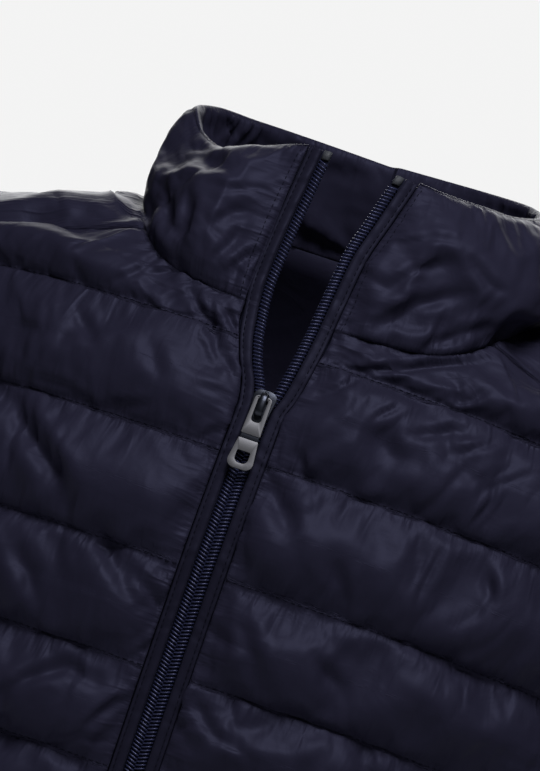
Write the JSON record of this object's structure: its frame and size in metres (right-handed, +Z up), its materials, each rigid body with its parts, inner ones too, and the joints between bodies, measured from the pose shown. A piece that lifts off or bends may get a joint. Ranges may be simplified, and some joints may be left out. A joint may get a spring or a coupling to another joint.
{
  "type": "quilted vest",
  "caption": "Padded sleeveless vest with a stand collar and a front zip, horizontally quilted, filled out as worn, with a swinging zip pull.",
  "frame": {"origin": "in the middle of the neck, level with the crease where the collar meets the shoulders, where the wearer's neck and shoulders hold the vest", "axes": "+Z up along the body, -Y out of the chest, +X to the wearer's left"},
  "size_m": [0.4108, 0.2629, 0.7223],
  "materials": {
    "quilted_nylon": "semi-gloss plain-weave nylon",
    "zip_tape": "matt woven tape with a glossy coil",
    "slider_metal": "dark gunmetal, satin",
    "pull_metal": "satin grey"
  },
  "bodies": {
    "garment": {"front_left": "quilted_nylon", "front_right": "quilted_nylon", "back": "quilted_nylon", "collar": "quilted_nylon", "placket_left": "quilted_nylon", "placket_right": "quilted_nylon", "armhole_binding_left": "quilted_nylon", "armhole_binding_right": "quilted_nylon", "zip_tape_left": "zip_tape", "zip_tape_right": "zip_tape", "slider": "slider_metal"},
    "pull_tab": {"pull": "pull_metal"}
  },
  "joints": [
    {"name": "pull_swing", "type": "hinge", "parent": "garment", "child": "pull_tab", "pos_m": [0, -0.10405, -0.06736], "axis": [-1, 0, 0], "range_deg": [0, 150]}
  ]
}
